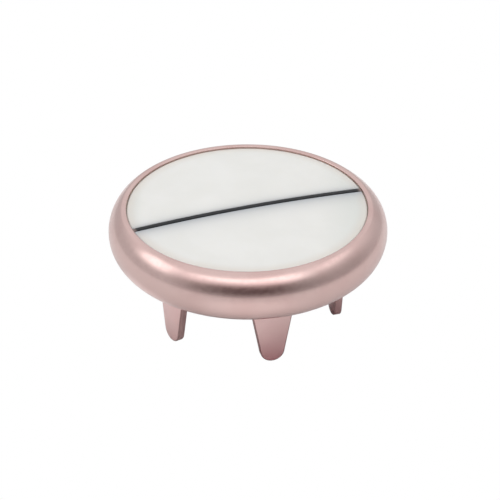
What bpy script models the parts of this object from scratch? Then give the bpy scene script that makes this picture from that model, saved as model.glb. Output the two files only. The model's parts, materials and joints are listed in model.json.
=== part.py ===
"""Round inlaid cap with five fold-over prongs, in metres.

The cap stands on its prong tips at z = 0, its axis is Z and its front is -Y. A pressed sheet-metal shell has
a puffy hollow edge and a shallow tray. A domed white inlay in two halves, with a dark strip between them,
is glued in the tray. A filler disc and a stamped claw plate are held under the tray by the shell's edge,
which is rolled in to a flat seat. The prongs are cut from the plate and bent down. A panel lies against the
seat, and each prong folds inward behind it at a fold line, where the prong's free end is its own piece.
"""

import math

import bmesh
import bpy
from mathutils import Matrix, Vector

MM = 0.001

# Shell
OUTER_RADIUS = 12.5 * MM
SECTION_RADIUS = 2.87 * MM  # round section of the puffy edge
SEAT_HEIGHT = 6.04 * MM  # seat above the prong tips
SEAT_INNER_RADIUS = 8.75 * MM
SHEET = 0.5 * MM
LIP_RADIUS = 10.80 * MM  # wall round the inlay
LIP_ROUNDING = 0.33 * MM
TRAY_CORNER = 0.2 * MM

# Inlay
INLAY_RADIUS = 10.75 * MM
INLAY_DOME = 0.33 * MM
INLAY_THICKNESS = 1.2 * MM  # at its edge
INLAY_EDGE_ROUNDING = 0.12 * MM
LIP_STAND = 0.135 * MM  # lip above the inlay's edge
STRIP_WIDTH = 0.5 * MM
STRIP_OFFSET = -0.28 * MM  # of the strip's middle from the axis, across the strip
STRIP_ANGLE = math.radians(19.1)  # from +X towards +Y

# Inside the shell
FIT_GAP = 0.05 * MM  # between pieces that are pressed or glued together
GLUE_THICKNESS = 0.15 * MM
GLUE_RADIUS = 10.4 * MM
FILLER_RADIUS = 10.5 * MM
FILLER_CHAMFER = 0.25 * MM

# Claw plate and prongs
PLATE_RADIUS = 9.6 * MM
PRONG_SHEET = 0.7 * MM
PRONG_COUNT = 5
PRONG_RADIUS = 7.88 * MM  # middle of the prong's thickness
FIRST_PRONG_ANGLE = math.radians(15.5)  # from -Y towards +X
BEND_RADIUS = 0.6 * MM  # middle of the thickness
PRONG_TIP_WIDTH = 0.923 * MM  # half width that the straight sides would have at the very tip
PRONG_TAPER = 0.189  # half width gained per unit of length
PRONG_TIP_LENGTH = 1.07 * MM  # height of the rounded tip's ellipse
WINDOW_CLEARANCE = 0.15 * MM
FOLD_HEIGHT = 4.2 * MM  # fold line above the tips
KNUCKLE_BEVEL = 0.33 * MM

# One prong is knocked out of line: it leans along the rim and is twisted about its own length
KNOCKED_PRONG = 1
KNOCKED_SHIFT = 0.33 * MM
KNOCKED_TWIST = math.radians(18.3)

ROUND_STEPS = 72
SHARP_ANGLE = math.radians(32)

SECTION_CENTRE = Vector((OUTER_RADIUS - SECTION_RADIUS, 0, SEAT_HEIGHT + SECTION_RADIUS))
LIP_CENTRE_X = LIP_RADIUS + LIP_ROUNDING
LIP_CENTRE_Z = SECTION_CENTRE.z + math.sqrt(
    (SECTION_RADIUS - LIP_ROUNDING) ** 2 - (LIP_CENTRE_X - SECTION_CENTRE.x) ** 2
)
INLAY_EDGE_Z = LIP_CENTRE_Z + LIP_ROUNDING - LIP_STAND
INLAY_BOTTOM = INLAY_EDGE_Z - INLAY_THICKNESS
GLUE_TOP = INLAY_BOTTOM - FIT_GAP
TRAY_TOP = GLUE_TOP - GLUE_THICKNESS - FIT_GAP
TRAY_BOTTOM = TRAY_TOP - SHEET
PLATE_MIDDLE = SEAT_HEIGHT + SHEET + FIT_GAP + PRONG_SHEET / 2
FILLER_BOTTOM = PLATE_MIDDLE + PRONG_SHEET / 2 + FIT_GAP
FILLER_TOP = TRAY_BOTTOM - FIT_GAP
BEND_START_RADIUS = PRONG_RADIUS + BEND_RADIUS  # where the plate begins to turn down
BEND_END_HEIGHT = PLATE_MIDDLE - BEND_RADIUS
STUB_END_HEIGHT = FOLD_HEIGHT + PRONG_SHEET / 2 + FIT_GAP


def clear_scene():
    for obj in list(bpy.data.objects):
        bpy.data.objects.remove(obj)


def make_collection(name):
    collection = bpy.data.collections.new(name)
    bpy.context.scene.collection.children.link(collection)
    return collection


def make_material(name, colour, roughness, metallic):
    material = bpy.data.materials.new(name)
    material.use_nodes = True
    shader = material.node_tree.nodes["Principled BSDF"]
    shader.inputs["Base Color"].default_value = (*colour, 1)
    shader.inputs["Roughness"].default_value = roughness
    shader.inputs["Metallic"].default_value = metallic
    return material


def arc(centre_x, centre_z, radius, start, end, steps):
    """Points on an arc in the XZ plane. Angles are in degrees from +X towards +Z."""
    angles = [math.radians(start + (end - start) * i / steps) for i in range(steps + 1)]
    return [(centre_x + radius * math.cos(a), centre_z + radius * math.sin(a)) for a in angles]


def add_object(name, mesh, collection):
    obj = bpy.data.objects.new(name, mesh)
    collection.objects.link(obj)
    return obj


def evaluated_mesh(obj):
    return bpy.data.meshes.new_from_object(obj.evaluated_get(bpy.context.evaluated_depsgraph_get()))


def bake_modifiers(obj, material):
    """Replaces the object's mesh by the shape that its modifiers make, with crisp edges and smooth faces."""
    mesh = evaluated_mesh(obj)
    obj.modifiers.clear()
    obj.data = mesh
    obj.data.materials.clear()
    obj.data.materials.append(material)
    obj.data.shade_smooth()
    obj.data.set_sharp_from_angle(angle=SHARP_ANGLE)


def turned(name, profile, collection):
    """A solid of revolution about Z. The profile runs from the axis, down the outside, back to the axis."""
    mesh = bpy.data.meshes.new(name)
    bm = bmesh.new()
    verts = [bm.verts.new((x, 0, z)) for x, z in profile]
    for start, end in zip(verts, verts[1:]):
        bm.edges.new((start, end))
    bm.to_mesh(mesh)
    bm.free()
    obj = add_object(name, mesh, collection)
    screw = obj.modifiers.new("turn", "SCREW")
    screw.axis = "Z"
    screw.steps = ROUND_STEPS
    screw.render_steps = ROUND_STEPS
    screw.use_merge_vertices = True
    screw.merge_threshold = 1e-6
    return obj


def shell_profile():
    """The sheet's whole outline, from the tray's floor over the lip, round the edge and back inside."""
    lip_angle = math.degrees(
        math.atan2(LIP_CENTRE_Z - SECTION_CENTRE.z, LIP_CENTRE_X - SECTION_CENTRE.x)
    )
    inner_radius = SECTION_RADIUS - SHEET
    wall_back = LIP_RADIUS + SHEET
    wall_angle = math.degrees(math.acos((wall_back - SECTION_CENTRE.x) / inner_radius))
    back_corner = TRAY_CORNER + SHEET
    profile = [(0, TRAY_TOP)]
    profile += arc(LIP_RADIUS - TRAY_CORNER, TRAY_TOP + TRAY_CORNER, TRAY_CORNER, -90, 0, 3)
    profile += arc(LIP_CENTRE_X, LIP_CENTRE_Z, LIP_ROUNDING, 180, lip_angle, 4)
    profile += arc(SECTION_CENTRE.x, SECTION_CENTRE.z, SECTION_RADIUS, lip_angle, 0, 7)[1:]
    profile += arc(SECTION_CENTRE.x, SECTION_CENTRE.z, SECTION_RADIUS, 0, -90, 11)[1:]
    profile += [(SEAT_INNER_RADIUS, SEAT_HEIGHT), (SEAT_INNER_RADIUS, SEAT_HEIGHT + SHEET)]
    profile += arc(SECTION_CENTRE.x, SECTION_CENTRE.z, inner_radius, -90, wall_angle, 10)
    profile += arc(wall_back - back_corner, TRAY_BOTTOM + back_corner, back_corner, 0, -90, 4)
    profile += [(0, TRAY_BOTTOM)]
    return profile


def make_rim_shell(collection, material):
    obj = turned("rim_shell", shell_profile(), collection)
    bake_modifiers(obj, material)


def inlay_profile():
    """A flat-bottomed disc with a shallow dome and a small rounding at the dome's edge."""
    dome_steps = 8
    dome_radius = INLAY_RADIUS - INLAY_EDGE_ROUNDING
    profile = []
    for i in range(dome_steps):
        x = dome_radius * i / dome_steps
        profile.append((x, INLAY_EDGE_Z + INLAY_DOME * (1 - (x / dome_radius) ** 2)))
    profile += arc(dome_radius, INLAY_EDGE_Z - INLAY_EDGE_ROUNDING, INLAY_EDGE_ROUNDING, 90, 0, 3)
    profile += [(INLAY_RADIUS, INLAY_BOTTOM), (0, INLAY_BOTTOM)]
    return profile


def box_cutter(name, low, high, collection):
    """A box between two corners, turned with the strip."""
    mesh = bpy.data.meshes.new(name)
    bm = bmesh.new()
    size = Vector(high) - Vector(low)
    middle = (Vector(high) + Vector(low)) / 2
    bmesh.ops.create_cube(bm, size=1, matrix=Matrix.Translation(middle) @ Matrix.Diagonal((*size, 1)))
    bm.to_mesh(mesh)
    bm.free()
    cutter = add_object(name, mesh, collection)
    cutter.rotation_euler.z = STRIP_ANGLE
    cutter.hide_render = True
    cutter.display_type = "WIRE"
    return cutter


def make_inlay_piece(name, near_side, far_side, collection, cutters, material):
    """The stretch of the domed disc between two lines along the strip, given by their distance from its middle."""
    reach = 2 * INLAY_RADIUS
    low = (-reach, STRIP_OFFSET + near_side, 0)
    high = (reach, STRIP_OFFSET + far_side, 2 * INLAY_EDGE_Z)
    cutter = box_cutter(f"{name}_cutter", low, high, cutters)
    obj = turned(name, inlay_profile(), collection)
    keep = obj.modifiers.new("keep", "BOOLEAN")
    keep.operation = "INTERSECT"
    keep.object = cutter
    bake_modifiers(obj, material)


def make_inlay(collection, cutters, white, dark):
    half_strip = STRIP_WIDTH / 2
    side = half_strip + FIT_GAP
    reach = 2 * INLAY_RADIUS
    make_inlay_piece("inlay_half_front", -reach, -side, collection, cutters, white)
    make_inlay_piece("inlay_half_back", side, reach, collection, cutters, white)
    make_inlay_piece("centre_strip", -half_strip, half_strip, collection, cutters, dark)


def make_glue_film(collection, material):
    bottom = GLUE_TOP - GLUE_THICKNESS
    profile = [(0, GLUE_TOP), (GLUE_RADIUS, GLUE_TOP), (GLUE_RADIUS, bottom), (0, bottom)]
    bake_modifiers(turned("glue_film", profile, collection), material)


def make_filler_disc(collection, material):
    neck = FILLER_RADIUS - FILLER_CHAMFER
    profile = [
        (0, FILLER_TOP),
        (neck, FILLER_TOP),
        (FILLER_RADIUS, FILLER_TOP - FILLER_CHAMFER),
        (FILLER_RADIUS, FILLER_BOTTOM + FILLER_CHAMFER),
        (neck, FILLER_BOTTOM),
        (0, FILLER_BOTTOM),
    ]
    bake_modifiers(turned("filler_disc", profile, collection), material)


def tip_ellipse():
    """Half width of the tip's ellipse, and the angle on it where the straight side begins."""
    middle = PRONG_TIP_WIDTH + PRONG_TAPER * PRONG_TIP_LENGTH
    lean = PRONG_TAPER * PRONG_TIP_LENGTH
    return math.sqrt(middle**2 - lean**2), math.acos(lean / middle)


def prong_side(length, steps=7):
    """Points (half width, distance from the tip) up one side of a prong of that length."""
    width, last = tip_ellipse()
    angles = [last * i / steps for i in range(steps + 1)]
    side = [(width * math.sin(a), PRONG_TIP_LENGTH * (1 - math.cos(a))) for a in angles]
    return side + [(half_width(length), length)]


def half_width(distance):
    """Half the prong's width at a distance from its tip, above the rounded tip."""
    return PRONG_TIP_WIDTH + PRONG_TAPER * distance


def prong_angle(index):
    return FIRST_PRONG_ANGLE + 2 * math.pi * index / PRONG_COUNT


def prong_place(index, height):
    """Where a prong's middle line is at a height, and how it is turned about Z. It starts on the plate."""
    progress = (BEND_END_HEIGHT - height) / (BEND_END_HEIGHT - STUB_END_HEIGHT)
    progress = min(max(progress, 0), 1) if index == KNOCKED_PRONG else 0
    eased = progress * progress * (3 - 2 * progress)
    local = Vector((KNOCKED_SHIFT * eased, -PRONG_RADIUS, height))
    angle = prong_angle(index)
    return Matrix.Rotation(angle, 4, "Z") @ local, angle + KNOCKED_TWIST * eased


def blank_length():
    """Length of a prong's flat blank, from its tip to where the plate begins to turn down."""
    return BEND_END_HEIGHT + BEND_RADIUS * math.pi / 2


def window_outline(index):
    """The hole that a prong's blank leaves in the plate. The fold's two corners come first."""
    length = blank_length()
    fold = half_width(length)
    side = [(w + WINDOW_CLEARANCE, s) for w, s in prong_side(length)[1:]]
    outline = [(-fold, length), (fold, length)] + side[::-1]
    outline += [(0, -WINDOW_CLEARANCE)] + [(-w, s) for w, s in side]
    turn = Matrix.Rotation(prong_angle(index), 4, "Z")
    return [turn @ Vector((w, length - s - BEND_START_RADIUS, PLATE_MIDDLE)) for w, s in outline]


def stub_rows(index):
    """Left and right edge points of the bend and of the prong's fixed upper end, row by row."""
    bend_steps, straight_steps = 6, 6
    turn = Matrix.Rotation(prong_angle(index), 4, "Z")
    rows = []
    for i in range(1, bend_steps + 1):
        angle = math.pi / 2 * i / bend_steps
        width = half_width(blank_length() - BEND_RADIUS * angle)
        y = -BEND_START_RADIUS + BEND_RADIUS * math.sin(angle)
        z = BEND_END_HEIGHT + BEND_RADIUS * math.cos(angle)
        rows.append([turn @ Vector((x, y, z)) for x in (-width, width)])
    for i in range(1, straight_steps + 1):
        z = BEND_END_HEIGHT + (STUB_END_HEIGHT - BEND_END_HEIGHT) * i / straight_steps
        middle, heading = prong_place(index, z)
        along = Matrix.Rotation(heading, 4, "Z") @ Vector((half_width(z), 0, 0))
        rows.append([middle - along, middle + along])
    return rows


def extrude_row(bm, edge, row):
    """Extrudes an edge to two new points, and returns the new edge."""
    old = sorted(edge.verts, key=lambda v: (v.co - row[0]).length)
    made = bmesh.ops.extrude_edge_only(bm, edges=[edge])["geom"]
    verts = [item for item in made if isinstance(item, bmesh.types.BMVert)]
    left = min(verts, key=lambda v: (v.co - old[0].co).length)
    right = next(v for v in verts if v != left)
    left.co, right.co = row
    return bm.edges.get((left, right))


def make_claw_plate(collection, material):
    """One sheet: a disc with a window for each prong, and the prong's root bent down from the window's edge."""
    bm = bmesh.new()
    circle = [
        Matrix.Rotation(2 * math.pi * i / ROUND_STEPS, 4, "Z") @ Vector((PLATE_RADIUS, 0, PLATE_MIDDLE))
        for i in range(ROUND_STEPS)
    ]
    loops = [circle] + [window_outline(index) for index in range(PRONG_COUNT)]
    folds = []
    for loop in loops:
        verts = [bm.verts.new(point) for point in loop]
        edges = [bm.edges.new((a, b)) for a, b in zip(verts, verts[1:] + verts[:1])]
        folds.append(edges[0])
    bmesh.ops.triangle_fill(bm, use_beauty=True, edges=bm.edges[:])
    for index, edge in enumerate(folds[1:]):
        for row in stub_rows(index):
            edge = extrude_row(bm, edge, row)
    bmesh.ops.recalc_face_normals(bm, faces=bm.faces[:])
    mesh = bpy.data.meshes.new("claw_plate")
    bm.to_mesh(mesh)
    bm.free()
    obj = add_object("claw_plate", mesh, collection)
    solidify = obj.modifiers.new("sheet", "SOLIDIFY")
    solidify.thickness = PRONG_SHEET
    solidify.offset = 0
    solidify.use_even_offset = True
    bake_modifiers(obj, material)


def prong_mesh(material):
    """The free end of a prong, hanging from the origin on its fold line, with a half-round top to turn on."""
    top = PRONG_SHEET / 2
    side = prong_side(FOLD_HEIGHT + top)
    outline = side[1:] + [(-x, y) for x, y in reversed(side[1:])] + [side[0]]
    curve = bpy.data.curves.new("prong_outline", "CURVE")
    curve.dimensions = "2D"
    curve.fill_mode = "BOTH"
    curve.extrude = PRONG_SHEET / 2
    spline = curve.splines.new("POLY")
    spline.points.add(len(outline) - 1)
    for point, (x, y) in zip(spline.points, outline):
        point.co = (x, y - FOLD_HEIGHT, 0, 1)
    spline.use_cyclic_u = True
    guide = bpy.data.objects.new("prong_outline", curve)
    bpy.context.scene.collection.objects.link(guide)
    mesh = evaluated_mesh(guide)
    bpy.data.objects.remove(guide)
    mesh.transform(Matrix.Rotation(math.pi / 2, 4, "X"))
    bm = bmesh.new()
    bm.from_mesh(mesh)
    bmesh.ops.remove_doubles(bm, verts=bm.verts[:], dist=1e-6)
    long_top = [
        e
        for e in bm.edges
        if all(abs(v.co.z - top) < 1e-6 for v in e.verts) and abs((e.verts[0].co - e.verts[1].co).y) < 1e-6
    ]
    bmesh.ops.bevel(
        bm, geom=long_top, offset=KNUCKLE_BEVEL, segments=4, profile=0.5, affect="EDGES"
    )
    bm.to_mesh(mesh)
    bm.free()
    mesh.materials.append(material)
    mesh.shade_smooth()
    mesh.set_sharp_from_angle(angle=SHARP_ANGLE)
    return mesh


def make_prongs(collection, material):
    mesh = prong_mesh(material)
    for index in range(PRONG_COUNT):
        prong = add_object(f"prong_{index + 1}", mesh, collection)
        place, heading = prong_place(index, FOLD_HEIGHT)
        prong.location = place
        prong.rotation_euler.z = heading


def main():
    clear_scene()
    parts = make_collection("inlaid_prong_cap")
    cutters = make_collection("cutters")
    rose_gold = make_material("rose_gold_shell", (0.72, 0.48, 0.45), 0.34, 1.0)
    claw_gold = make_material("rose_gold_claw", (0.70, 0.46, 0.43), 0.38, 1.0)
    white = make_material("white_inlay", (0.82, 0.83, 0.80), 0.15, 0.0)
    dark = make_material("dark_strip", (0.02, 0.022, 0.025), 0.3, 0.0)
    glue = make_material("clear_glue", (0.80, 0.74, 0.55), 0.4, 0.0)
    filler = make_material("grey_filler", (0.30, 0.30, 0.31), 0.6, 0.0)
    make_rim_shell(parts, rose_gold)
    make_inlay(parts, cutters, white, dark)
    make_glue_film(parts, glue)
    make_filler_disc(parts, filler)
    make_claw_plate(parts, claw_gold)
    make_prongs(parts, claw_gold)


main()
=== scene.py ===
"""Looks of the round inlaid cap with fold-over prongs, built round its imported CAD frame."""

import json
import math

import bmesh
import bpy
from mathutils import Matrix, Vector


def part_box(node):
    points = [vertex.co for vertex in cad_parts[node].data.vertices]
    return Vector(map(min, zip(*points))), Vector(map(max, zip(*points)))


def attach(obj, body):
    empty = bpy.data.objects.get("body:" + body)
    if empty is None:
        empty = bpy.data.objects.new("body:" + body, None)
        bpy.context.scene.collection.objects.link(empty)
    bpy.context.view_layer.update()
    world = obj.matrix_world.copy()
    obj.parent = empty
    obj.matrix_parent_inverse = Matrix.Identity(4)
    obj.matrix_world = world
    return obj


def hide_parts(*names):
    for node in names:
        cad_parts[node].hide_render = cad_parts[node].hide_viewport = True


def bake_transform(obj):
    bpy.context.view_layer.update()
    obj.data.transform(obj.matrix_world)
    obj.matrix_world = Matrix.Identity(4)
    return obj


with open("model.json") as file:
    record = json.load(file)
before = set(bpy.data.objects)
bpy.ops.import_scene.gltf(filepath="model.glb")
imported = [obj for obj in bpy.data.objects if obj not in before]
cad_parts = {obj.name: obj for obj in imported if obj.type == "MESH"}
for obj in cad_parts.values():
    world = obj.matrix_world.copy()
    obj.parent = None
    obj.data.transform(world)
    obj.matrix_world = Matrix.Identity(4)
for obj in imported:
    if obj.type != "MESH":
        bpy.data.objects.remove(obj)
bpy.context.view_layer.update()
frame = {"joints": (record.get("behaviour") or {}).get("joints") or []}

MM = 0.001

# Sizes that the frame gives
RIM_LOW, RIM_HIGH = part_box("rim_shell")
STRIP_LOW, STRIP_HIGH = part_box("centre_strip")
PLATE_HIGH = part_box("claw_plate")[1]
FILLER_LOW, FILLER_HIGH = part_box("filler_disc")
GLUE_LOW, GLUE_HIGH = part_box("glue_film")
OUTER_RADIUS = RIM_HIGH.x
SEAT_Z = RIM_LOW.z
CREST_Z = RIM_HIGH.z
DOME_TOP_Z = STRIP_HIGH.z
INLAY_BOTTOM_Z = STRIP_LOW.z
PLATE_TOP_Z = PLATE_HIGH.z
PLATE_RADIUS = PLATE_HIGH.x

# Sizes of the design, as in the CAD part
SECTION_RADIUS = 2.87 * MM
SEAT_INNER_RADIUS = 8.75 * MM
SHEET = 0.5 * MM
LIP_RADIUS = 10.80 * MM
LIP_ROUNDING = 0.33 * MM
TRAY_CORNER = 0.2 * MM
TRAY_TOP_Z = GLUE_LOW.z - 0.05 * MM
INLAY_RADIUS = 10.75 * MM
INLAY_DOME = 0.33 * MM
STRIP_WIDTH = 0.5 * MM
STRIP_OFFSET = -0.28 * MM
STRIP_ANGLE = math.radians(19.1)
PRONG_SHEET = 0.7 * MM
PRONG_RADIUS = 7.88 * MM
BEND_RADIUS = 0.6 * MM
PRONG_TIP_WIDTH = 0.923 * MM
PRONG_TAPER = 0.189
PRONG_TIP_LENGTH = 1.07 * MM
WINDOW_CLEARANCE = 0.15 * MM
KNOCKED_PRONG = 1
KNOCKED_SHIFT = 0.33 * MM
KNOCKED_TWIST = math.radians(18.3)
FIRST_PRONG_ANGLE = math.radians(15.5)
STUB_END_HEIGHT = 4.6 * MM

# Finer shapes that only the looks have
WELD_DISTANCE = 1e-8
SHARP_ANGLE = math.radians(35)  # between faces, above which their shared edge stays crisp
ROUND_STEPS = 288
INNER_ROUND_STEPS = 192
TRAY_OFFSET = Vector((-0.08, -0.09, 0)) * MM  # of the tray from the rim's middle, as pressed
SEAT_EDGE_ROUNDING = 0.08 * MM
LIP_INNER_ROUNDING = 0.08 * MM
INLAY_ROUNDING = 0.12 * MM
STRIP_GAP = 0.015 * MM
STRIP_ROUNDING = 0.03 * MM
STRIP_END_REFLECTION = 0.42 * MM  # how far the painted reflection of the rim reaches in over the strip's ends
GLUE_CLEARANCE = 0.005 * MM
GLUE_BEAD_DEPTH = 0.07 * MM  # of the bead's top below the inlay's edge
FILLER_ROUNDING = 0.2 * MM
FILLER_RECESS_RADIUS = 5.4 * MM
FILLER_RECESS_DEPTH = 0.12 * MM
GATE_MARK_RADIUS = 0.6 * MM
PRONG_EDGE_ROUNDING = 0.1 * MM
SEAM_HEIGHT = 6.2 * MM  # where a prong's folding piece meets its root on the claw plate
PRONG_SPACING = 0.08 * MM  # of a folding piece's rows along its length
ROOT_SPACING = 0.12 * MM
ROOT_OVERLAP = 0.4 * MM  # how far a prong's root runs into the plate
PLATE_STEPS = 180  # round the plate's rim
ROLLED_OVER, SHEARED = 1, 2  # materials of a stamped edge: its rounded outer corner, and the rest of it
# Painted shade at each prong's tip: its colour grows darker and redder towards the tip, by a share per
# prong.
PAINTED_TIP_SHADE_REACH = 3.4 * MM
PAINTED_TIP_SHADE = (1.0, 0.8, 0.5, 0.5, 0.05)  # of each prong's tip
PAINTED_TIP_SHADE_FALL = 1.2

INLAY_EDGE_Z = DOME_TOP_Z - INLAY_DOME
PLATE_MIDDLE_Z = PLATE_TOP_Z - PRONG_SHEET / 2
BEND_START_RADIUS = PRONG_RADIUS + BEND_RADIUS
BEND_END_HEIGHT = PLATE_MIDDLE_Z - BEND_RADIUS
BLANK_LENGTH = BEND_END_HEIGHT + BEND_RADIUS * math.pi / 2
PRONG_JOINTS = sorted(frame["joints"], key=lambda joint: joint["name"])


# ---------------------------------------------------------------- mesh helpers


def arc(centre_x, centre_z, radius, start, end, steps):
    """Points on an arc in the XZ plane. Angles are in degrees from +X towards +Z."""
    angles = [math.radians(start + (end - start) * i / steps) for i in range(steps + 1)]
    return [(centre_x + radius * math.cos(a), centre_z + radius * math.sin(a)) for a in angles]


def new_object(name, mesh):
    obj = bpy.data.objects.new(name, mesh)
    bpy.context.scene.collection.objects.link(obj)
    return obj


def finish_mesh(name, bm):
    """A smooth-shaded object from a bmesh, with its normals outward and its crisp edges kept."""
    bmesh.ops.remove_doubles(bm, verts=bm.verts[:], dist=WELD_DISTANCE)
    bmesh.ops.recalc_face_normals(bm, faces=bm.faces[:])
    mesh = bpy.data.meshes.new(name)
    bm.to_mesh(mesh)
    bm.free()
    mesh.shade_smooth()
    mesh.set_sharp_from_angle(angle=SHARP_ANGLE)
    return new_object(name, mesh)


def loft(bm, rings):
    """Joins closed rings of points, each with the same count, by quads."""
    rows = [[bm.verts.new(p) for p in ring] for ring in rings]
    for low, high in zip(rows, rows[1:]):
        count = len(low)
        for i in range(count):
            j = (i + 1) % count
            bm.faces.new((low[i], low[j], high[j], high[i]))
    return rows


def turned(name, profile, steps):
    """A solid of revolution about Z from a profile that starts and ends on the axis."""
    bm = bmesh.new()
    verts = [bm.verts.new((x, 0, z)) for x, z in profile]
    edges = [bm.edges.new(pair) for pair in zip(verts, verts[1:])]
    geometry = verts + edges
    bmesh.ops.spin(bm, geom=geometry, cent=(0, 0, 0), axis=(0, 0, 1), angle=2 * math.pi, steps=steps)
    return finish_mesh(name, bm)


def ease(value):
    """Goes from 0 to 1 with soft ends."""
    value = min(max(value, 0), 1)
    return value * value * (3 - 2 * value)


# ---------------------------------------------------------------- shell, filler and glue


def shell_profile():
    """The shell's sheet, from the tray's floor over the rolled lip, round the edge and back inside."""
    section_x = OUTER_RADIUS - SECTION_RADIUS
    section_z = SEAT_Z + SECTION_RADIUS
    lip_x = LIP_RADIUS + LIP_ROUNDING
    lip_z = CREST_Z - LIP_ROUNDING
    lip_angle = math.degrees(math.atan2(lip_z - section_z, lip_x - section_x))
    inner_radius = SECTION_RADIUS - SHEET
    wall_back = LIP_RADIUS + SHEET
    wall_angle = math.degrees(math.acos((wall_back - section_x) / inner_radius))
    back_corner = TRAY_CORNER + SHEET
    tray_bottom = TRAY_TOP_Z - SHEET
    edge, inner = SEAT_EDGE_ROUNDING, LIP_INNER_ROUNDING
    profile = [(0, TRAY_TOP_Z), (LIP_RADIUS / 2, TRAY_TOP_Z)]
    profile += arc(LIP_RADIUS - TRAY_CORNER, TRAY_TOP_Z + TRAY_CORNER, TRAY_CORNER, -90, 0, 6)
    profile += arc(LIP_RADIUS + inner, CREST_Z - inner, inner, 180, 90, 6)
    profile += arc(lip_x, lip_z, LIP_ROUNDING, 90, lip_angle, 12)
    profile += arc(section_x, section_z, SECTION_RADIUS, lip_angle, -90, 72)[1:]
    profile += arc(SEAT_INNER_RADIUS + edge, SEAT_Z + edge, edge, -90, -180, 5)
    profile += arc(SEAT_INNER_RADIUS + edge, SEAT_Z + SHEET - edge, edge, 180, 90, 5)
    profile += arc(section_x, section_z, inner_radius, -90, wall_angle, 24)
    profile += arc(wall_back - back_corner, tray_bottom + back_corner, back_corner, 0, -90, 8)
    profile += [(LIP_RADIUS / 2, tray_bottom), (0, tray_bottom)]
    return profile


def press_off_centre(rim):
    """Moves the tray off the rim's middle. The rim takes it up between its widest line and its lip."""
    reach = OUTER_RADIUS - LIP_RADIUS - LIP_ROUNDING
    for vert in rim.data.vertices:
        inward = (OUTER_RADIUS - math.hypot(vert.co.x, vert.co.y)) / reach
        upward = (vert.co.z - SEAT_Z - SECTION_RADIUS) / MM
        vert.co += TRAY_OFFSET * ease(inward) * ease(upward)


def settle(piece):
    """Puts a piece that lies in the tray where the tray is."""
    piece.data.transform(Matrix.Translation(TRAY_OFFSET))


def make_rim(material):
    rim = turned("rim_shell_fine", shell_profile(), ROUND_STEPS)
    press_off_centre(rim)
    dress(rim, material, "cap", "rim_shell")


def make_glue(material):
    """A flat film whose squeezed-out bead fills the groove round the inlay nearly to the top."""
    groove_low, groove_high = INLAY_RADIUS + GLUE_CLEARANCE, LIP_RADIUS - GLUE_CLEARANCE
    bead_z = INLAY_EDGE_Z - GLUE_BEAD_DEPTH
    corner = TRAY_CORNER + 0.02 * MM
    middle = (groove_low + groove_high) / 2
    profile = [(0, GLUE_HIGH.z), (groove_low, GLUE_HIGH.z)]
    profile += [(groove_low, bead_z), (middle, bead_z - 0.01 * MM), (groove_high, bead_z + 0.01 * MM)]
    profile += arc(groove_high - corner, GLUE_LOW.z + corner, corner, 0, -90, 5)
    profile += [(0, GLUE_LOW.z)]
    glue = turned("glue_film_fine", profile, INNER_ROUND_STEPS)
    settle(glue)
    dress(glue, material, "cap", "glue_film")


def make_filler(material):
    """A moulded disc with rounded edges, a shallow recess and a gate mark in its lower face."""
    radius, low, high = FILLER_HIGH.x, FILLER_LOW.z, FILLER_HIGH.z
    edge, depth = FILLER_ROUNDING, FILLER_RECESS_DEPTH
    profile = [(0, high), (radius - edge, high)]
    profile += arc(radius - edge, high - edge, edge, 90, 0, 6)[1:]
    profile += arc(radius - edge, low + edge, edge, 0, -90, 6)
    profile += [(FILLER_RECESS_RADIUS + depth, low), (FILLER_RECESS_RADIUS, low + depth)]
    profile += [(GATE_MARK_RADIUS + depth, low + depth), (GATE_MARK_RADIUS, low + 0.3 * depth)]
    profile += [(0, low + 0.2 * depth)]
    filler = turned("filler_disc_fine", profile, INNER_ROUND_STEPS)
    dress(filler, material, "cap", "filler_disc")


# ---------------------------------------------------------------- inlay


def dome_z(x, y):
    return DOME_TOP_Z - INLAY_DOME * (x * x + y * y) / INLAY_RADIUS**2


def half_moon_ring(inset, side_gap, chord_points=60, arc_points=120):
    """Outline of a half moon, drawn in by an inset. Its straight side lies along the strip."""
    radius = INLAY_RADIUS - inset
    chord = side_gap + inset
    corner = math.asin(min(1, chord / radius))
    half_chord = radius * math.cos(corner)
    ring = [(half_chord * (2 * i / chord_points - 1), chord) for i in range(chord_points)]
    sweep = math.pi - 2 * corner
    for i in range(arc_points):
        angle = corner + sweep * i / arc_points
        ring.append((radius * math.cos(angle), radius * math.sin(angle)))
    return ring


def make_half_moon(name, turn, offset, material):
    """A half-moon inlay. Rings follow its outline: wall, rounded edge, then the dome down to a point."""
    side_gap = STRIP_WIDTH / 2 + STRIP_GAP + offset
    place = Matrix.Rotation(STRIP_ANGLE + turn, 4, "Z")
    edge_steps, dome_steps = 6, 36
    deepest = (INLAY_RADIUS - side_gap) / 2
    levels = [(0, None), (0, INLAY_ROUNDING)]
    for i in range(1, edge_steps + 1):
        angle = math.pi / 2 * i / edge_steps
        inset, drop = 1 - math.cos(angle), 1 - math.sin(angle)
        levels.append((INLAY_ROUNDING * inset, INLAY_ROUNDING * drop))
    for i in range(1, dome_steps):
        levels.append((INLAY_ROUNDING + (deepest * 0.995 - INLAY_ROUNDING) * i / dome_steps, 0))
    rings = []
    for inset, drop in levels:
        ring = half_moon_ring(inset, side_gap)
        heights = [INLAY_BOTTOM_Z if drop is None else dome_z(x, y) - drop for x, y in ring]
        rings.append([place @ Vector((x, y, z)) for (x, y), z in zip(ring, heights)])
    bm = bmesh.new()
    rows = loft(bm, rings)
    bm.faces.new(rows[0][::-1])
    bm.faces.new(rows[-1])
    half = finish_mesh(f"{name}_fine", bm)
    settle(half)
    dress(half, material, "cap", name)


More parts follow.
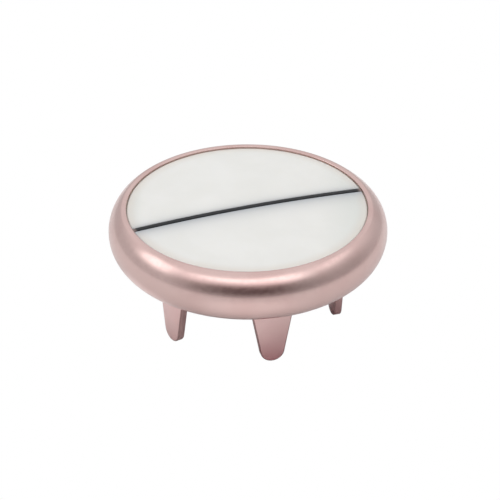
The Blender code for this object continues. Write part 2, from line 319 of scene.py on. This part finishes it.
def make_strip(material):
    """The strip let in between the halves: a thin bar with rounded upper edges that follows the dome."""
    half, edge, steps = STRIP_WIDTH / 2, STRIP_ROUNDING, 80
    reach = math.sqrt(INLAY_RADIUS**2 - half**2)
    place = Matrix.Rotation(STRIP_ANGLE, 4, "Z")
    section = [(half, None), (half, edge)]
    angles = (0.5, 1.0, math.pi / 2)
    section += [(half - edge + edge * math.cos(a), edge * (1 - math.sin(a))) for a in angles]
    section += [(-v, drop) for v, drop in reversed(section)]
    rings = []
    for i in range(steps + 1):
        x = reach * (2 * i / steps - 1)
        ring = [
            (v + STRIP_OFFSET, INLAY_BOTTOM_Z if drop is None else dome_z(x, v + STRIP_OFFSET) - drop)
            for v, drop in section
        ]
        rings.append([place @ Vector((x, v, z)) for v, z in ring])
    bm = bmesh.new()
    rows = loft(bm, rings)
    bm.faces.new(rows[0])
    bm.faces.new(rows[-1][::-1])
    strip = finish_mesh("centre_strip_fine", bm)
    settle(strip)
    dress(strip, material, "cap", "centre_strip")


# ---------------------------------------------------------------- claw plate and prongs


def half_width(distance):
    return PRONG_TIP_WIDTH + PRONG_TAPER * distance


def prong_outline(length, start, spacing):
    """One side of a prong's blank from its tip, or from a start above it, as (half width, distance)."""
    side = []
    if start == 0:
        middle = half_width(PRONG_TIP_LENGTH)
        lean = PRONG_TAPER * PRONG_TIP_LENGTH
        width, last, steps = math.sqrt(middle**2 - lean**2), math.acos(lean / middle), 20
        for i in range(steps + 1):
            angle = last * i / steps
            side.append((width * math.sin(angle), PRONG_TIP_LENGTH * (1 - math.cos(angle))))
        start = side[-1][1]
    count = math.ceil((length - start) / spacing)
    distances = [start + (length - start) * i / count for i in range(1 if side else 0, count + 1)]
    return side + [(half_width(s), s) for s in distances]


def prong_angle(index):
    return FIRST_PRONG_ANGLE + 2 * math.pi * index / len(PRONG_JOINTS)


def on_prong(index, across, distance, out):
    """A blank's point in space: across its width, along it from the tip, and out from its middle plane."""
    turn = Matrix.Rotation(prong_angle(index), 4, "Z")
    if distance > BEND_END_HEIGHT:
        bend = min((distance - BEND_END_HEIGHT) / BEND_RADIUS, math.pi / 2)
        flat = max(0, distance - BLANK_LENGTH)
        radius = BEND_RADIUS - out
        y = -BEND_START_RADIUS + radius * math.cos(bend) - flat
        return turn @ Vector((across, y, BEND_END_HEIGHT + radius * math.sin(bend)))
    progress = (BEND_END_HEIGHT - distance) / (BEND_END_HEIGHT - STUB_END_HEIGHT)
    knocked = ease(progress) if index == KNOCKED_PRONG else 0
    twist = Matrix.Rotation(KNOCKED_TWIST * knocked, 4, "Z")
    middle = Vector((KNOCKED_SHIFT * knocked, -PRONG_RADIUS, distance))
    return turn @ (middle + twist @ Vector((across, -out, 0)))


def blank_outline(start, end, spacing):
    """A blank's outline, down one side and up the other, and the outline's outward normals."""
    side = prong_outline(end, start, spacing)
    other_side = side[1:] if start == 0 else side
    outline = side[::-1] + [(-w, s) for w, s in other_side]
    if start > 0:
        return outline, [(math.copysign(1, x), 0) for x, _ in outline]
    normals = []
    for i in range(len(outline)):
        (x0, y0), (x1, y1) = outline[max(i - 1, 0)], outline[min(i + 1, len(outline) - 1)]
        length = math.hypot(x1 - x0, y1 - y0)
        normals.append(((y0 - y1) / length, (x1 - x0) / length))
    return outline, normals


def edge_layers():
    """Through the sheet, how far each layer of a blank is drawn in, and how far out it lies."""
    half, edge = PRONG_SHEET / 2, PRONG_EDGE_ROUNDING
    angles = (math.pi / 2, 1, 0.5, 0)
    layers = [(edge * (1 - math.cos(a)), half - edge + edge * math.sin(a)) for a in angles]
    return layers + [(inset, -out) for inset, out in reversed(layers)]


def blank_rows(bm, index, outline, normals):
    """The layers' vertices, from the outer face to the inner one, with more painted shade towards the tip.
    """
    tip_shade = bm.verts.layers.float.get("tip_shade") or bm.verts.layers.float.new("tip_shade")
    rows = []
    for inset, out in edge_layers():
        points = [(x - nx * inset, y - ny * inset) for (x, y), (nx, ny) in zip(outline, normals)]
        rows.append([bm.verts.new(on_prong(index, x, y, out)) for x, y in points])
        for vert, (_, along) in zip(rows[-1], outline):
            vert[tip_shade] = PAINTED_TIP_SHADE[index] * max(0, 1 - along / PAINTED_TIP_SHADE_REACH) ** PAINTED_TIP_SHADE_FALL
    return rows


def add_blank(bm, index, start, end, spacing):
    """A stretch of a prong's sheet with rounded long edges, and a round end where it starts at the tip."""
    outline, normals = blank_outline(start, end, spacing)
    rows = blank_rows(bm, index, outline, normals)
    count, open_ended = len(outline), start > 0
    middle = count // 2
    wall_level = len(rows) // 2 - 1
    for level, (upper, lower) in enumerate(zip(rows, rows[1:])):
        for i in range(count - 1):
            if open_ended and i == middle - 1:
                continue
            face = bm.faces.new((upper[i], upper[i + 1], lower[i + 1], lower[i]))
            face.material_index = ROLLED_OVER if level < wall_level else SHEARED
    for row in (rows[0], rows[-1]):
        for i in range(middle - 1 if open_ended else middle):
            quad = [row[i], row[i + 1], row[count - 2 - i], row[count - 1 - i]]
            bm.faces.new(quad if quad[1] != quad[2] else quad[:2] + quad[3:])
    bm.faces.new([row[0] for row in rows] + [row[-1] for row in reversed(rows)])
    if open_ended:
        bm.faces.new([row[middle - 1] for row in rows] + [row[middle] for row in reversed(rows)])


def window_outline(index):
    """The hole that a prong's blank leaves in the plate."""
    side = [(w + WINDOW_CLEARANCE, s) for w, s in prong_outline(BLANK_LENGTH, 0, BLANK_LENGTH)[1:]]
    outline = side[::-1] + [(0, -WINDOW_CLEARANCE)] + [(-w, s) for w, s in side]
    turn = Matrix.Rotation(prong_angle(index), 4, "Z")
    return [turn @ Vector((w, BLANK_LENGTH - s - BEND_START_RADIUS, 0)) for w, s in outline]


def plate_mesh():
    """The plate with its windows, as a filled curve with rounded edges."""
    edge = PRONG_EDGE_ROUNDING
    curve = bpy.data.curves.new("plate_outline", "CURVE")
    curve.dimensions = "2D"
    curve.fill_mode = "BOTH"
    curve.extrude = PRONG_SHEET / 2 - edge
    curve.bevel_depth = edge
    curve.bevel_resolution = 2
    curve.offset = -edge
    turns = [Matrix.Rotation(2 * math.pi * i / PLATE_STEPS, 4, "Z") for i in range(PLATE_STEPS)]
    circle = [turn @ Vector((PLATE_RADIUS, 0, 0)) for turn in turns]
    for outline in [circle] + [window_outline(i) for i in range(len(PRONG_JOINTS))]:
        spline = curve.splines.new("POLY")
        spline.points.add(len(outline) - 1)
        for point, position in zip(spline.points, outline):
            point.co = (*position, 1)
        spline.use_cyclic_u = True
    guide = new_object("plate_outline", curve)
    graph = bpy.context.evaluated_depsgraph_get()
    mesh = bpy.data.meshes.new_from_object(guide.evaluated_get(graph))
    bpy.data.objects.remove(guide)
    mesh.transform(Matrix.Translation((0, 0, PLATE_MIDDLE_Z)))
    return mesh


def make_claw(material, edge_materials_painted_shade):
    """The plate with the roots of its prongs bent down, as far as the folding pieces."""
    bm = bmesh.new()
    bm.from_mesh(plate_mesh())
    for index in range(len(PRONG_JOINTS)):
        add_blank(bm, index, SEAM_HEIGHT, BLANK_LENGTH + ROOT_OVERLAP, ROOT_SPACING)
    claw = finish_mesh("claw_plate_fine", bm)
    dress(claw, material, "cap", "claw_plate")
    paint(claw, *edge_materials_painted_shade)


def make_prong(index, material, edge_materials_painted_shade):
    """The stretch of a prong from its tip up to the seam, as a piece of its own in place of the CAD prong.
    """
    bm = bmesh.new()
    add_blank(bm, index, 0, SEAM_HEIGHT, PRONG_SPACING)
    prong = finish_mesh(f"prong_{index + 1}_fine", bm)
    paint(prong, material, *edge_materials_painted_shade)
    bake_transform(prong)
    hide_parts(f"prong_{index + 1}")


# ---------------------------------------------------------------- materials


def paint(obj, *materials):
    for material in materials:
        obj.data.materials.append(material)


def dress(obj, material, body, node):
    """Gives a piece its material and its body, and lets it stand for its CAD node."""
    paint(obj, material)
    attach(obj, body)
    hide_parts(node)


class Nodes:
    """A node tree, with short calls for the nodes used here."""

    def __init__(self, tree):
        self.tree = tree
        self.coords = self.add("ShaderNodeTexCoord")

    def add(self, kind, **settings):
        node = self.tree.nodes.new(kind)
        for key, value in settings.items():
            setattr(node, key, value)
        return node

    def link(self, source, target):
        self.tree.links.new(source, target)

    def math(self, operation, a, b=None):
        """An operation on nodes' outputs or plain numbers."""
        node = self.add("ShaderNodeMath", operation=operation)
        for socket, value in zip(node.inputs, (a, b)):
            if isinstance(value, (int, float)):
                socket.default_value = value
            elif value is not None:
                self.link(value, socket)
        return node.outputs[0]

    def spread(self, value, low, high, to_low=0, to_high=1):
        """Maps a value from one range to another, clamped, with soft ends."""
        node = self.add("ShaderNodeMapRange", interpolation_type="SMOOTHSTEP")
        ends = {"From Min": low, "From Max": high, "To Min": to_low, "To Max": to_high}
        for name, number in ends.items():
            node.inputs[name].default_value = number
        self.link(value, node.inputs["Value"])
        return node.outputs["Result"]

    def mix(self, factor, a, b):
        """Mixes two colours, each a node's output or three numbers."""
        node = self.add("ShaderNodeMix", data_type="RGBA")
        self.link(factor, node.inputs[0])
        for socket, value in zip((node.inputs[6], node.inputs[7]), (a, b)):
            if isinstance(value, tuple):
                socket.default_value = (*value, 1)
            else:
                self.link(value, socket)
        return node.outputs[2]


class Surface(Nodes):
    """A material round one Principled shader."""

    def __init__(self, name):
        self.material = bpy.data.materials.new(name)
        self.material.use_nodes = True
        super().__init__(self.material.node_tree)
        self.shader = self.tree.nodes["Principled BSDF"]

    def set(self, **values):
        for key, value in values.items():
            self.shader.inputs[key.replace("_", " ")].default_value = value

    def feed(self, name, value):
        """Links a node's output to the shader's socket of that name."""
        self.link(value, self.shader.inputs[name])

    def noise(self, scale, detail=3, roughness=0.5):
        node = self.add("ShaderNodeTexNoise")
        node.inputs["Scale"].default_value = scale
        node.inputs["Detail"].default_value = detail
        node.inputs["Roughness"].default_value = roughness
        self.link(self.coords.outputs["Object"], node.inputs["Vector"])
        return node.outputs["Fac"]

    def on_tray(self):
        """A point's place to the right of the tray's middle, behind it, and its distance from it."""
        split = self.add("ShaderNodeSeparateXYZ")
        self.link(self.coords.outputs["Object"], split.inputs[0])
        x = self.math("SUBTRACT", split.outputs["X"], TRAY_OFFSET.x)
        y = self.math("SUBTRACT", split.outputs["Y"], TRAY_OFFSET.y)
        squares = self.math("ADD", self.math("MULTIPLY", x, x), self.math("MULTIPLY", y, y))
        return x, y, self.math("SQRT", squares)

    def bump(self, height, strength, distance):
        node = self.add("ShaderNodeBump")
        node.inputs["Strength"].default_value = strength
        node.inputs["Distance"].default_value = distance
        self.link(height, node.inputs["Height"])
        self.feed("Normal", node.outputs["Normal"])


def rose_gold(name, tint, roughness, grain):
    """Satin rose-gold plating: a fine blasted grain, soft changes of tint, and painted shade, dark and
    red-brown, towards each prong's tip.
    """
    n = Surface(name)
    n.set(Metallic=1.0)
    cloud = n.spread(n.noise(260, 4), 0.35, 0.7)
    deeper = tuple(c * s for c, s in zip(tint, (0.94, 0.90, 0.90)))
    shaded_tip_tint = tuple(c * s for c, s in zip(tint, (0.72, 0.54, 0.58)))
    # Painted shade: a darker, redder colour towards each prong's tip.
    tip_shade = n.add("ShaderNodeAttribute", attribute_name="tip_shade").outputs["Fac"]
    n.feed("Base Color", n.mix(tip_shade, n.mix(cloud, tint, deeper), shaded_tip_tint))
    speckle = n.noise(2600, 2)
    n.feed("Roughness", n.spread(speckle, 0.3, 0.7, roughness - 0.03, roughness + 0.03))
    n.bump(n.noise(14000, 2, 0.6), grain, 0.004 * MM)
    return n.material


def white_resin(name, strip_shade, reach):
    """Milky polished resin, with painted shade beside the dark strip and on its left and right sides, and a
    painted warm reflection of the rim near its outer edge.
    """
    n = Surface(name)
    n.set(Roughness=0.22, IOR=1.5, Coat_Weight=0.25, Coat_Roughness=0.08)
    n.set(Subsurface_Weight=0.35, Subsurface_Scale=0.7 * MM, Subsurface_Radius=(1.0, 0.95, 0.85))
    x, y, radius = n.on_tray()
    turned_x = n.math("MULTIPLY", x, math.sin(STRIP_ANGLE))
    turned_y = n.math("MULTIPLY", y, math.cos(STRIP_ANGLE))
    across = n.math("SUBTRACT", n.math("SUBTRACT", turned_y, turned_x), STRIP_OFFSET)
    from_strip = n.math("SUBTRACT", n.math("ABSOLUTE", across), STRIP_WIDTH / 2)
    cloud = n.spread(n.noise(180, 4, 0.55), 0.35, 0.7)
    milk = n.mix(cloud, (0.74, 0.74, 0.715), (0.77, 0.77, 0.75))
    # Painted shade on the inlay's left and right sides.
    right = n.spread(x, 6 * MM, 10.5 * MM, 0, 0.75)
    left = n.spread(x, -9 * MM, -10.6 * MM, 0, 0.7)
    milk = n.mix(n.math("ADD", right, left), milk, (0.63, 0.655, 0.625))
    # Painted reflection of the rose-gold rim: warmer and darker towards the inlay's outer edge.
    milk = n.mix(n.spread(radius, 9.6 * MM, INLAY_RADIUS, 0, 0.6), milk, (0.66, 0.60, 0.54))
    # Painted shade beside the dark strip, fading with distance from it.
    shade = n.math("EXPONENT", n.math("DIVIDE", from_strip, -reach))
    n.feed("Base Color", n.mix(shade, milk, strip_shade))
    n.bump(n.noise(700, 2), 0.05, 0.01 * MM)
    return n.material


def dark_strip(name):
    """Charcoal strip, with a painted brownish reflection of the rose-gold lip over its two ends."""
    n = Surface(name)
    n.set(Roughness=0.3, Specular_IOR_Level=0.2)
    fleck = n.spread(n.noise(3000, 3), 0.4, 0.8)
    charcoal = n.mix(fleck, (0.008, 0.009, 0.011), (0.02, 0.022, 0.026))
    _, _, radius = n.on_tray()
    # Painted reflection of the rim's lip: brownish towards the strip's ends.
    ends = n.spread(radius, INLAY_RADIUS - STRIP_END_REFLECTION, INLAY_RADIUS)
    n.feed("Base Color", n.mix(ends, charcoal, (0.22, 0.17, 0.16)))
    n.bump(n.noise(5000, 2), 0.1, 0.003 * MM)
    return n.material


def clear_glue(name):
    """Cured glue, a little brown, with an uneven skin."""
    n = Surface(name)
    n.set(Roughness=0.2, Subsurface_Weight=0.2, Subsurface_Scale=0.3 * MM)
    n.feed("Base Color", n.mix(n.noise(900, 3), (0.42, 0.36, 0.30), (0.33, 0.27, 0.22)))
    n.bump(n.noise(2500, 2), 0.3, 0.01 * MM)
    return n.material


def grey_filler(name):
    """Moulded plastic with a fine spark-eroded texture."""
    n = Surface(name)
    n.feed("Base Color", n.mix(n.noise(400, 3), (0.21, 0.21, 0.22), (0.27, 0.27, 0.275)))
    n.feed("Roughness", n.spread(n.noise(1500, 2), 0.3, 0.7, 0.5, 0.68))
    n.bump(n.noise(9000, 3, 0.6), 0.35, 0.01 * MM)
    return n.material


# ---------------------------------------------------------------- studio

CAMERA_ELEVATION = math.radians(30.98)
CAMERA_DISTANCE = 278.05 * MM  # from the middle of the inlay's edge plane
CAMERA_LENS = 224.1
AIM_RIGHT = 0.18 * MM
AIM_DOWN = 3.785 * MM
TABLE_RADIUS = 75 * MM
TABLE_Z = -0.02 * MM
SURROUND_RADIUS = 0.9
WALL_LIGHT = 0.68
CEILING_LIGHT = 0.34
BOX_LIGHT = 1.35
SIDE_BOXES_SHARE = 0.89  # of the front box's light
RIGHT_BOX_SHARE = 0.4  # of the left box's light
RIGHT_ROOM_SHADE = 0.25


def make_camera():
    """A long lens, aimed a little right of and below the inlay's middle."""
    middle = Vector((0, 0, INLAY_EDGE_Z))
    sin, cos = math.sin(CAMERA_ELEVATION), math.cos(CAMERA_ELEVATION)
    place = middle + CAMERA_DISTANCE * Vector((0, -cos, sin))
    aim = middle + AIM_RIGHT * Vector((1, 0, 0)) - AIM_DOWN * Vector((0, sin, cos))
    data = bpy.data.cameras.new("camera")
    data.sensor_width = 36
    data.lens = CAMERA_LENS
    data.clip_start = 0.01
    data.clip_end = 10
    camera = new_object("camera", data)
    camera.location = place
    camera.rotation_euler = (aim - place).to_track_quat("-Z", "Y").to_euler()
    bpy.context.scene.camera = camera


def glow(n, place, reach, strength):
    """A soft round glow in a table top."""
    node = n.add("ShaderNodeVectorMath", operation="DISTANCE")
    n.link(n.coords.outputs["Object"], node.inputs[0])
    node.inputs[1].default_value = place
    return n.spread(node.outputs["Value"], 0.3 * reach, reach, strength, 0)


def make_table():
    """A small light table, unseen by the camera. It takes the cap's shade and lights it from below."""
    bm = bmesh.new()
    bmesh.ops.create_circle(bm, cap_ends=True, segments=96, radius=TABLE_RADIUS)
    table = finish_mesh("table", bm)
    n = Surface("light_table")
    n.set(Base_Color=(0.85, 0.85, 0.85, 1), Roughness=1.0, Specular_IOR_Level=0.0)
    n.set(Emission_Color=(1, 1, 1, 1))
    front = glow(n, (0, -22 * MM, 0), 15 * MM, 0.2)
    left = glow(n, (-12 * MM, -1.5 * MM, 0), 7.5 * MM, 0.26)
    n.feed("Emission Strength", n.math("ADD", front, left))
    paint(table, n.material)
    table.location.z = TABLE_Z
    table.visible_camera = False


def make_surround():
    """The plain white that the camera sees all round, blown out as on a light table."""
    bm = bmesh.new()
    bmesh.ops.create_uvsphere(bm, u_segments=48, v_segments=24, radius=SURROUND_RADIUS)
    surround = finish_mesh("surround", bm)
    n = Surface("blown_out_white")
    n.set(Base_Color=(0, 0, 0, 1), Roughness=1.0, Specular_IOR_Level=0.0)
    n.set(Emission_Color=(1, 1, 1, 1), Emission_Strength=1.0)
    paint(surround, n.material)
    surround.visible_diffuse = False
    surround.visible_glossy = False
    surround.visible_transmission = False
    surround.visible_shadow = False


class Studio(Nodes):
    """The studio's surroundings as a world shader: radiance by direction. Azimuth 0 faces the camera."""

    def __init__(self):
        world = bpy.data.worlds.new("studio")
        world.use_nodes = True
        bpy.context.scene.world = world
        super().__init__(world.node_tree)
        split = self.add("ShaderNodeSeparateXYZ")
        self.link(self.coords.outputs["Generated"], split.inputs[0])
        x, y, z = split.outputs
        self.azimuth = self.math("ARCTAN2", x, self.math("MULTIPLY", y, -1))
        self.elevation = self.math("ARCSINE", z)

    def box(self, azimuth, elevation, width, height, softness, tilt=0):
        """1 inside a rounded box of sky and 0 outside. Its width and height are half ones, in degrees."""
        sideways = self.math("SUBTRACT", self.azimuth, math.radians(azimuth))
        middle = self.math("ADD", self.math("MULTIPLY", sideways, tilt), math.radians(elevation))
        across = self.math("DIVIDE", sideways, math.radians(width))
        upward = self.math("SUBTRACT", self.elevation, middle)
        upward = self.math("DIVIDE", upward, math.radians(height))
        far = self.math("ADD", self.fourth_power(across), self.fourth_power(upward))
        return self.spread(self.math("POWER", far, 0.25), 1 + softness, 1 - softness)

    def above(self, elevation, softness):
        """0 below a height in the sky and 1 above it."""
        low, high = math.radians(elevation - softness), math.radians(elevation + softness)
        return self.spread(self.elevation, low, high)

    def fourth_power(self, value):
        square = self.math("MULTIPLY", value, value)
        return self.math("MULTIPLY", square, square)

    def finish(self, colour, strength):
        background = self.tree.nodes["Background"]
        self.link(colour, background.inputs["Color"])
        self.link(strength, background.inputs["Strength"])


def make_light():
    """Pale walls under a white ceiling, softboxes high in front, and the warm dark behind the camera."""
    studio = Studio()
    ceiling = studio.above(elevation=22, softness=18)
    front_box = studio.box(azimuth=0, elevation=39.5, width=54, height=13.5, softness=0.3, tilt=0.09)
    left_box = studio.box(azimuth=-84, elevation=28, width=17, height=13, softness=0.4)
    right_box = studio.box(azimuth=90, elevation=42, width=20, height=8, softness=0.5)
    room = studio.box(azimuth=0, elevation=16, width=44, height=20, softness=0.7)
    room_right = studio.box(azimuth=75, elevation=12, width=32, height=22, softness=0.6)
    boxes = studio.math("MAXIMUM", left_box, studio.math("MULTIPLY", right_box, RIGHT_BOX_SHARE))
    boxes = studio.math("MAXIMUM", front_box, studio.math("MULTIPLY", boxes, SIDE_BOXES_SHARE))
    walls = studio.math("ADD", WALL_LIGHT, studio.math("MULTIPLY", ceiling, CEILING_LIGHT))
    dim = studio.math("SUBTRACT", 1, studio.math("MULTIPLY", room_right, RIGHT_ROOM_SHADE))
    walls = studio.math("MULTIPLY", walls, dim)
    colour = studio.mix(room, (1, 1, 1), (0.15, 0.11, 0.11))
    studio.finish(colour, studio.math("ADD", walls, studio.math("MULTIPLY", boxes, BOX_LIGHT)))


# ---------------------------------------------------------------- the whole

shell_metal = rose_gold("satin_rose_gold", (0.655, 0.48, 0.455), 0.24, 0.02)
claw_metal = rose_gold("claw_rose_gold", (0.70, 0.505, 0.49), 0.24, 0.012)
make_rim(shell_metal)
# Painted shade along the stamped edges: the rounded outer corners get a much darker copy of the plating, and
# the sheared faces, rougher bare metal, are darkened with painted shade too.
edge_metals_painted_shade = (
    rose_gold("rolled_over_edge_painted_shade", (0.39, 0.27, 0.262), 0.4, 0.05),
    rose_gold("sheared_edge_and_painted_shade", (0.55, 0.39, 0.38), 0.42, 0.1),
)
# Two copies of one resin that differ only in their painted shade beside the strip: the near half's is wider
# and bluer.
far_resin = white_resin("milky_resin_far", (0.40, 0.415, 0.43), 0.42 * MM)
near_resin = white_resin("milky_resin_near", (0.31, 0.335, 0.375), 0.8 * MM)
make_half_moon("inlay_half_back", 0, STRIP_OFFSET, far_resin)
make_half_moon("inlay_half_front", math.pi, -STRIP_OFFSET, near_resin)
make_strip(dark_strip("charcoal_strip"))
make_glue(clear_glue("cured_glue"))
make_filler(grey_filler("moulded_filler"))
make_claw(claw_metal, edge_metals_painted_shade)
for number, fold_joint in enumerate(PRONG_JOINTS):
    make_prong(number, claw_metal, edge_metals_painted_shade)

make_table()
make_surround()
make_light()
make_camera()
bpy.context.scene.view_settings.view_transform = "Standard"
